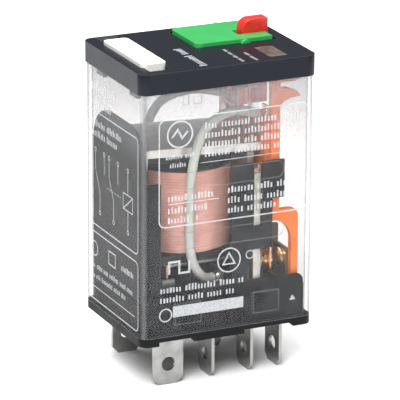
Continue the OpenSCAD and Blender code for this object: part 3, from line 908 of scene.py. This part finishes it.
@dataclass(frozen=True)
class FrontPrint:
    """Print on the wide face: a framed block of rows with a wave mark, and loose marks under it."""

    face_y: float
    frame_low: Flat = (-11.1, 18.1)
    frame_high: Flat = (12.55, 34.3)
    left: float = -9.7
    row: float = 1.05
    small_row: float = 0.75
    note_ends: tuple[Flat, ...] = ((11.9, 32.2), (10.4, 30.8), (11.6, 29.4), (8.6, 28.0))
    value_ends: tuple[Flat, ...] = ((12.1, 22.1), (10.8, 20.5), (11.6, 19.0))
    wave_centre: Flat = (-7.85, 31.9)
    wave_radius: float = 1.95
    triangle_centre: Flat = (0.06, 11.8)
    triangle_radius: float = 1.8
    step_low: Flat = (-9.5, 10.9)
    step_size: Flat = (1.6, 1.8)
    label_low: Flat = (-8.9, 4.2)
    label_high: Flat = (2.4, 5.9)

    def build(self, palette: Palette) -> None:
        """Draws and places the print.

        Args:
            palette: The finishes.
        """
        sheet = PrintSheet("print_front", Panel((0, self.face_y, 0), (1, 0, 0), (0, 0, 1)))
        self.framed_rows(sheet)
        self.plain_marks(sheet)
        self.foot(sheet)
        sheet.build(palette["pale_ink"], Body.HOUSING, "clear_case")

    def framed_rows(self, sheet: PrintSheet) -> None:
        """Draws the frame and its rows.

        Args:
            sheet: The sheet to draw on.
        """
        sheet.frame(self.frame_low, self.frame_high, 1.0, 0.2)
        sheet.words(-10.0, -5.4, 28.3, self.small_row, 3)
        sheet.words(-9.4, -6.2, 27.0, self.small_row, 4)
        for seed, (end, v) in enumerate(self.note_ends, 10):
            sheet.words(-3.9, end, v, self.row, seed)
        sheet.stroke([(-4.6, 27.2), (12.0, 27.2)], width=0.1)
        sheet.words(self.left, -2.0, 21.9, self.row, 21)
        sheet.stroke([(self.left, 21.5), (-1.6, 21.5)], width=0.12)
        sheet.words(self.left, -3.0, 20.1, self.row, 22)
        sheet.words(self.left, -4.4, 18.6, 1.0, 23)
        for seed, (end, v) in enumerate(self.value_ends, 30):
            sheet.words(-0.2, end, v, self.row, seed)

    def plain_marks(self, sheet: PrintSheet) -> None:
        """Draws the wave, step and triangle marks.

        Args:
            sheet: The sheet to draw on.
        """
        sheet.ring(*self.wave_centre, self.wave_radius, 0.26)
        sheet.stroke([(-9.1, 31.5), (-8.2, 32.6), (-7.5, 31.3), (-6.6, 32.3)], width=0.3)
        (u, v), (wide, tall) = self.step_low, self.step_size
        steps = [(u, v), (u, v + tall), (u + wide, v + tall), (u + wide, v), (u + 2 * wide, v)]
        sheet.stroke([*steps, (u + 2 * wide, v + tall)], width=0.34)
        sheet.ring(*self.triangle_centre, self.triangle_radius, 0.22)
        sheet.stroke([(-0.9, 11.2), (0.06, 12.9), (1.0, 11.2)], True, 0.22)
        sheet.ring(3.4, 12.2, 0.6, 0.16)

    def foot(self, sheet: PrintSheet) -> None:
        """Draws the loose rows, the blank label bar and the arrowhead.

        Args:
            sheet: The sheet to draw on.
        """
        sheet.words(-10.9, 2.85, 8.1, 1.0, 51)
        sheet.words(-10.9, 1.6, 6.6, 1.0, 52)
        sheet.ring(-10.05, 4.7, 0.95, 0.2)
        sheet.bar(self.label_low, self.label_high)
        sheet.patch([(9.9, 4.2), (10.9, 4.2), (10.4, 5.0)])


@dataclass(frozen=True)
class SidePrint:
    """Print on the coil end: a framed circuit diagram over a framed row of marks."""

    face_x: float
    left: float = -9.9
    right: float = 9.2
    upper_z: Flat = (14.0, 31.5)
    lower_z: Flat = (2.2, 12.8)
    pole_middles: Flat = (-4.6, 0.4)
    pole_half: float = 1.6
    top_z: float = 25.4
    foot_z: float = 16.6
    blade_z: Flat = (19.6, 22.4)
    fixed_z: float = 22.6
    coil_u: float = 5.6
    coil_half: float = 1.7
    coil_z: Flat = (19.6, 22.0)
    end_radius: float = 0.3
    link_z: float = 20.9

    def build(self, palette: Palette) -> None:
        """Draws and places the print.

        Args:
            palette: The finishes.
        """
        sheet = PrintSheet("print_side", Panel((self.face_x, 0, 0), (0, -1, 0), (0, 0, 1)))
        sheet.words(-7.5, 1.3, 34.6, 1.6, 61)
        sheet.words(-7.5, 0.4, 32.4, 1.2, 62)
        for low, high in (self.upper_z, self.lower_z):
            sheet.frame((self.left, low), (self.right, high), 0.9, 0.2)
        sheet.words(-8.6, 4.5, 29.3, 1.1, 63)
        sheet.words(-8.6, 2.6, 27.7, 1.1, 64)
        self.diagram(sheet)
        sheet.ring(-6.6, 10.2, 1.1, 0.2)
        sheet.stroke([(-1.4, 9.4), (1.0, 9.4), (1.0, 11.4), (-1.4, 11.4)], True, 0.2)
        sheet.words(3.2, 8.2, 9.8, 1.0, 65)
        sheet.words(-8.4, 7.4, 7.2, 0.85, 66)
        sheet.words(-8.4, 5.0, 5.6, 0.8, 67)
        sheet.stroke([(-8.4, 4.2), (8.0, 4.2)], width=0.14)
        sheet.build(palette["pale_ink"], Body.HOUSING, "clear_case")

    def diagram(self, sheet: PrintSheet) -> None:
        """Draws two changeover contacts and a coil, with a small ring at each end.

        Args:
            sheet: The sheet to draw on.
        """
        top, foot = self.top_z, self.foot_z
        ends = [(self.coil_u, top), (self.coil_u, foot)]
        for middle in self.pole_middles:
            left, right = middle - self.pole_half, middle + self.pole_half
            for u in (left, right):
                sheet.stroke([(u, top), (u, self.fixed_z)])
            sheet.stroke([(middle, foot), (middle, self.blade_z[0]), (middle - 1.5, self.blade_z[1])])
            ends += [(left, top), (right, top), (middle, foot)]
        for u, v in ends:
            sheet.ring(u, v + math.copysign(self.end_radius, v - self.link_z), self.end_radius, 0.14)
        left, right = self.coil_u - self.coil_half, self.coil_u + self.coil_half
        low, high = self.coil_z
        sheet.stroke([(left, low), (right, low), (right, high), (left, high)], True)
        sheet.stroke([(left, low), (right, high)])
        sheet.stroke([(self.coil_u, high), (self.coil_u, top)])
        sheet.stroke([(self.coil_u, low), (self.coil_u, foot)])
        for k in range(6):
            u = -1.9 + 0.9 * k
            sheet.stroke([(u, self.link_z), (u + 0.5, self.link_z)], width=0.12)


@dataclass(frozen=True)
class CapPrint:
    """Small plain marks on the cap and a fine border on the tag."""

    cap_z: float
    tag_low: Vector
    tag_high: Vector
    tag_lift: float = 0.015
    inset: float = 0.45
    tall_row: float = 1.3
    small_row: float = 0.7
    least_row: float = 0.6

    def build(self, palette: Palette) -> None:
        """Draws and places the marks.

        Args:
            palette: The finishes.
        """
        cap = PrintSheet("print_cap", self.panel(self.cap_z))
        cap.words(-9.4, 0.4, 3.0, self.tall_row, 71)
        cap.words(-9.6, -2.6, -2.8, self.small_row, 72)
        cap.words(-9.8, -5.2, -4.9, self.least_row, 73)
        cap.build(palette["cap_ink"], Body.HOUSING, "top_cap")
        tag = PrintSheet("print_tag", self.panel(self.tag_high.z + self.tag_lift))
        tag.frame((self.tag_low.y + self.inset, -self.tag_high.x + self.inset),
                  (self.tag_high.y - self.inset, -self.tag_low.x - self.inset), 0.4, 0.08)
        tag.build(palette["tag_ink"], Body.TAG, "id_tag")

    def panel(self, z: float) -> Panel:
        """A level panel read from the contact end.

        Args:
            z: Its height.

        Returns:
            The panel.
        """
        return Panel((0, 0, z), (0, 1, 0), (-1, 0, 0))


# Wires, spring and solder


@dataclass(frozen=True)
class FlexLead:
    """Sleeved flexible lead from a common terminal up to its moving spring."""

    side: Side
    radius: float = 0.7
    sides: int = 16
    strand: float = 0.434
    strand_sides: int = 10
    steps: int = 6
    bare_steps: int = 4
    bare_steps_low: int = 7
    tuck: int = 2
    bend_start: Point = (-3.0, 8.0, 12.0)
    bend_end: Point = (7.6, 5.6, 32.0)
    route: tuple[Point, ...] = (
        (7.98, 5.6, 32), (6.6, 5.6, 32.05), (5, 5.7, 32.5), (3, 6.1, 32.9), (1, 6.6, 32.8),
        (-1, 7.3, 32.2), (-2.8, 7.9, 31), (-4, 8.3, 29), (-4.8, 8.5, 26.5), (-5.3, 8.55, 23),
        (-5.4, 8.55, 20), (-5.4, 8.55, 17), (-5.3, 8.5, 14), (-4.8, 8.4, 11.6),
        (-3.8, 8, 9.8), (-2.5, 7.3, 8.5), (-1.3, 6.6, 8), (-0.5, 6.35, 7.95), (0, 6.3, 7.95),
    )

    def build(self, palette: Palette) -> None:
        """Makes the lead and its bare copper ends.

        Args:
            palette: The finishes.
        """
        flip = self.side.value
        route = [(x, flip * y, z) for x, y, z in self.route]
        path = smooth_path(route, self.steps)
        sleeve = tube(path[self.bare_steps:-self.bare_steps_low], self.radius, self.sides)
        name = f"lead_{self.side.word}"
        lead = mesh_piece(f"{name}_sleeve", *sleeve, palette["grey_sleeve"], smooth=True)
        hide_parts(name)
        reach, reach_low = self.bare_steps + self.tuck, self.bare_steps_low + self.tuck
        bare = merged([tube(path[:reach], self.strand, self.strand_sides),
                       tube(path[-reach_low:], self.strand, self.strand_sides)])
        ends = mesh_piece(f"{name}_ends", *bare, palette["copper_spring"], smooth=True)
        for piece in (lead, ends):
            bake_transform(piece)


@dataclass(frozen=True)
class ReturnSpring:
    """Open coil spring between the yoke's tab and the carrier."""

    radius: float = 0.95
    wire: float = 0.13
    flat_share: float = 0.08
    turns: int = 8
    steps: int = 20
    sides: int = 8

    def build(self, palette: Palette) -> None:
        """Makes the spring in the space of its CAD node.

        Args:
            palette: The finishes.
        """
        low, high = (corner / MM for corner in map(Vector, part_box("return_spring")))
        middle = (low + high) / 2
        path = []
        for step in range(self.turns * self.steps + 1):
            share = step / (self.turns * self.steps)
            turn = math.tau * self.turns * share
            climb = min(1.0, max(0.0, (share - self.flat_share) / (1 - 2 * self.flat_share)))
            z = low.z + self.wire + climb * (high.z - low.z - 2 * self.wire)
            round_it = self.radius * Vector((math.cos(turn), math.sin(turn), 0.0))
            path.append(Vector((middle.x, middle.y, z)) + round_it)
        coils = tube(path, self.wire, self.sides)
        spring = mesh_piece("return_spring_coils", *coils, palette["spring_steel"], smooth=True)
        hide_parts("return_spring")
        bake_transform(spring)


@dataclass(frozen=True)
class SolderJoints:
    """Drops of solder where leads and coil wires end: middle and half sizes of each."""

    terminal_drop: tuple[Point, Point] = ((0.05, 6.3, 8.0), (0.55, 0.9, 0.85))
    wire_drop: tuple[Point, Point] = ((-8.3, 7.2, 8.25), (0.75, 0.35, 0.6))
    spring_drop: tuple[Point, Point] = ((8.1, 5.6, 32.0), (0.45, 0.85, 0.8))

    def build(self, palette: Palette) -> None:
        """Makes the drops on the fixed and the moving parts.

        Args:
            palette: The finishes.
        """
        fixed = (self.terminal_drop, self.wire_drop)
        moving = (self.spring_drop,)
        for name, drops, body, slot in (("solder_fixed", fixed, Body.HOUSING, "common_terminal_front"),
                                        ("solder_moving", moving, Body.ARMATURE, "moving_spring_front")):
            shapes = [blob((x, side.value * y, z), size) for side in Side for (x, y, z), size in drops]
            piece = mesh_piece(name, *merged(shapes), palette["solder"], smooth=True)
            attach(piece, body.value)


@dataclass(frozen=True)
class TapeEnd:
    """Free end of the tape, one layer thick."""

    centre: Flat = (-3.0, 0.0)
    radius: float = 7.41
    thickness: float = 0.05
    start_deg: float = 250.0
    sweep_deg: float = 52.0
    low_z: float = 12.6
    high_z: float = 24.6
    steps: int = 24

    def build(self, palette: Palette) -> None:
        """Makes the lap as a thin curved sheet.

        Args:
            palette: The finishes.
        """
        points, faces = [], []
        steps = self.steps
        for step in range(steps + 1):
            turn = math.radians(self.start_deg + self.sweep_deg * step / steps)
            for radius in (self.radius, self.radius + self.thickness):
                for z in (self.low_z, self.high_z):
                    points.append((self.centre[0] + radius * math.cos(turn),
                                   self.centre[1] + radius * math.sin(turn), z))
            if step:
                a, b = 4 * (step - 1), 4 * step
                faces += [[a, b, b + 1, a + 1], [a + 2, a + 3, b + 3, b + 2], [a, a + 2, b + 2, b],
                          [a + 1, b + 1, b + 3, a + 3]]
        faces += [[0, 1, 3, 2], [4 * steps, 4 * steps + 2, 4 * steps + 3, 4 * steps + 1]]
        piece = mesh_piece("coil_tape_lap", points, faces, palette["pink_tape"])
        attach(piece, Body.HOUSING.value)


# CAD nodes


@dataclass(frozen=True)
class NodeLook:
    """Finish and edge rounding of a carried-over CAD node."""

    finish: str
    bevel_mm: float = 0.08
    segments: int = 2


class FrameLooks:
    """Finishes for every CAD node that stays in view."""

    LOOKS = {
        "base": NodeLook("black_base", 0.1),
        "clear_case": NodeLook("clear_case", 0.0),
        "top_cap": NodeLook("black_cap", 0.14, 3),
        "window_lens": NodeLook("smoked_lens", 0.05),
        "id_tag": NodeLook("white_tag", 0.18, 3),
        "lock_door": NodeLook("green_door", 0.16, 3),
        "test_button": NodeLook("red_button", 0.16, 3),
        "spring_rivets": NodeLook("steel_rivet", 0.12),
        "contact_carrier": NodeLook("orange_carrier", 0.1),
        "armature": NodeLook("nickel_armature", 0.1),
        "yoke": NodeLook("zinc_yoke", 0.08),
        "core": NodeLook("iron_core", 0.1),
        "shading_ring": NodeLook("copper_spring", 0.05),
        "bobbin": NodeLook("dark_bobbin", 0.1),
        "coil_winding": NodeLook("enamel_wire", 0.0),
        "coil_tape": NodeLook("pink_tape", 0.0),
        "coil_wires": NodeLook("copper_spring", 0.0),
        "coil_shield": NodeLook("dark_shield", 0.08),
        "pole_barrier": NodeLook("brown_laminate", 0.05),
        "nc_contacts": NodeLook("silver_contact", 0.06),
        "no_contacts": NodeLook("silver_contact", 0.06),
        "moving_contacts": NodeLook("silver_contact", 0.06),
    }
    PAIRS = {"arc_shield": NodeLook("dark_shield", 0.06), "moving_spring": NodeLook("copper_spring", 0.03)}
    TERMINALS = ("coil_terminal", "common_terminal", "nc_terminal", "no_terminal")
    WELD_MM = 0.001
    SHARP_DEG = 50

    def __init__(self, nodes: dict[str, bpy.types.Object]) -> None:
        """Collects the looks of all nodes.

        Args:
            nodes: The frame's nodes by name.
        """
        self.nodes = nodes
        self.looks = dict(self.LOOKS)
        for side in Side:
            self.looks |= {f"{name}_{side.word}": look for name, look in self.PAIRS.items()}
            self.looks |= {f"{name}_{side.word}": NodeLook("tinned_blade", 0.06) for name in self.TERMINALS}

    def build(self, palette: Palette) -> None:
        """Gives each node its finish and rounds its sharp edges.

        Args:
            palette: The finishes.
        """
        for name, look in self.looks.items():
            node = self.nodes[name]
            node.data.materials.clear()
            node.data.materials.append(palette[look.finish])
            if look.bevel_mm:
                node.modifiers.new("joined_faces", "WELD").merge_threshold = self.WELD_MM * MM
                rounding = node.modifiers.new("rounded_edges", "BEVEL")
                rounding.width = look.bevel_mm * MM
                rounding.segments = look.segments
                rounding.limit_method = "ANGLE"
                rounding.angle_limit = math.radians(self.SHARP_DEG)


# Studio


@dataclass(frozen=True)
class Softbox:
    """Square area light aimed at the relay."""

    name: str
    azimuth: float
    elevation: float
    distance: float
    size: float
    watts: float

    def build(self, target: Vector) -> None:
        """Places the light.

        Args:
            target: The point it faces, in metres.
        """
        light = bpy.data.lights.new(self.name, "AREA")
        light.size = self.size
        light.energy = self.watts
        lamp = bpy.data.objects.new(self.name, light)
        bpy.context.scene.collection.objects.link(lamp)
        place_round(lamp, target, self.azimuth, self.elevation, self.distance)


def place_round(thing: bpy.types.Object, target: Vector, azimuth: float, elevation: float,
                distance: float, roll: float = 0.0) -> None:
    """Puts a light or camera round a target and aims it there.

    Args:
        thing: What to place.
        target: The point to face, in metres.
        azimuth: Degrees round Z; 0 looks along +Y and 90 along -X.
        elevation: Degrees above the horizon.
        distance: Distance from the target, in metres.
        roll: Turn about the line of sight, in degrees.
    """
    a, e = math.radians(azimuth), math.radians(elevation)
    away = Vector((math.sin(a) * math.cos(e), -math.cos(a) * math.cos(e), math.sin(e)))
    aim = Matrix.Rotation(math.radians(roll), 4, away) @ away.to_track_quat("Z", "Y").to_matrix().to_4x4()
    thing.matrix_world = Matrix.Translation(target + away * distance) @ aim


@dataclass(frozen=True)
class Studio:
    """Pale floor, soft lights and the camera."""

    target: Point = (0.0, 0.0, 20.0)
    floor_size_m: float = 6.0
    floor_colour: Colour = (0.93, 0.93, 0.93)
    camera_azimuth: float = -24.84
    camera_elevation: float = 17.96
    camera_distance: float = 543.6
    camera_roll: float = 0.3
    lens_mm: float = 332.25
    shift: Flat = (0.0036, -0.0352)
    sensor_mm: float = 36.0
    far_m: float = 20.0
    sky: float = 0.22
    mottle_mm: float = 60.0
    lights: tuple[Softbox, ...] = (
        Softbox("key_light", -75.0, 50.0, 0.55, 0.45, 0.8),
        Softbox("front_light", -34.0, 46.0, 0.6, 0.3, 4.6),
        Softbox("fill_light", 60.0, 30.0, 0.6, 0.45, 0.5),
        Softbox("top_light", 150.0, 80.0, 0.5, 0.6, 4.2),
    )

    def build(self, lowest: float) -> None:
        """Makes the floor, lights, world and camera.

        Args:
            lowest: Height of the object's lowest point, in metres.
        """
        self.floor(lowest)
        target = Vector(self.target) * MM
        for light in self.lights:
            light.build(target)
        world = bpy.data.worlds.new("studio_world")
        world.use_nodes = True
        background = world.node_tree.nodes["Background"]
        background.inputs["Color"].default_value = (*WHITE, 1.0)
        background.inputs["Strength"].default_value = self.sky
        bpy.context.scene.world = world
        bpy.context.scene.view_settings.view_transform = "Standard"
        data = bpy.data.cameras.new("camera")
        data.lens = self.lens_mm
        data.sensor_width = self.sensor_mm
        data.shift_x, data.shift_y = self.shift
        data.clip_end = self.far_m
        camera = bpy.data.objects.new("camera", data)
        bpy.context.scene.collection.objects.link(camera)
        place_round(camera, target, self.camera_azimuth, self.camera_elevation,
                    self.camera_distance * MM, self.camera_roll)
        bpy.context.scene.camera = camera

    def floor(self, lowest: float) -> None:
        """Makes the floor.

        Args:
            lowest: Its height, in metres.
        """
        half = self.floor_size_m / 2 / MM
        z = lowest / MM
        sketch = NodeSketch("pale_floor")
        speck = sketch.span(sketch.noise(self.mottle_mm, 3.0), 0.0, 1.0)
        colour = sketch.blend(speck, scaled(self.floor_colour, 0.985), self.floor_colour)
        inputs = {"Base Color": colour, "Roughness": 0.7}
        material = sketch.finish(sketch.add("ShaderNodeBsdfPrincipled", inputs).outputs[0])
        corners = [(-half, -half, z), (half, -half, z), (half, half, z), (-half, half, z)]
        mesh_piece("floor", corners, [[0, 1, 2, 3]], material)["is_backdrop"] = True


def main() -> None:
    """Builds the relay's looks in order and reports each piece."""
    logging.basicConfig(level=logging.INFO, format="%(name)s: %(message)s")
    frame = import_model()
    cad_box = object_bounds()
    palette = Palette()
    case_low, _ = (Vector(corner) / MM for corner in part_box("clear_case"))
    _, cap_high = (Vector(corner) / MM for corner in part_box("top_cap"))
    tag = tuple(Vector(corner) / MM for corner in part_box("id_tag"))
    Studio().build(cad_box[0][2])
    LOG.info("studio: floor, lights and camera")
    parts = [
        ("CAD nodes", FrameLooks(frame["nodes"])),
        ("front print", FrontPrint(case_low.y - PRINT_LIFT)),
        ("side print", SidePrint(case_low.x - PRINT_LIFT)),
        ("cap and tag print", CapPrint(cap_high.z + PRINT_LIFT, *tag)),
        ("front lead", FlexLead(Side.FRONT)),
        ("rear lead", FlexLead(Side.REAR)),
        ("return spring", ReturnSpring()),
        ("solder", SolderJoints()),
        ("tape end", TapeEnd()),
    ]
    for label, part in parts:
        part.build(palette)
        LOG.info("built %s", label)


if __name__ == "__main__":
    main()
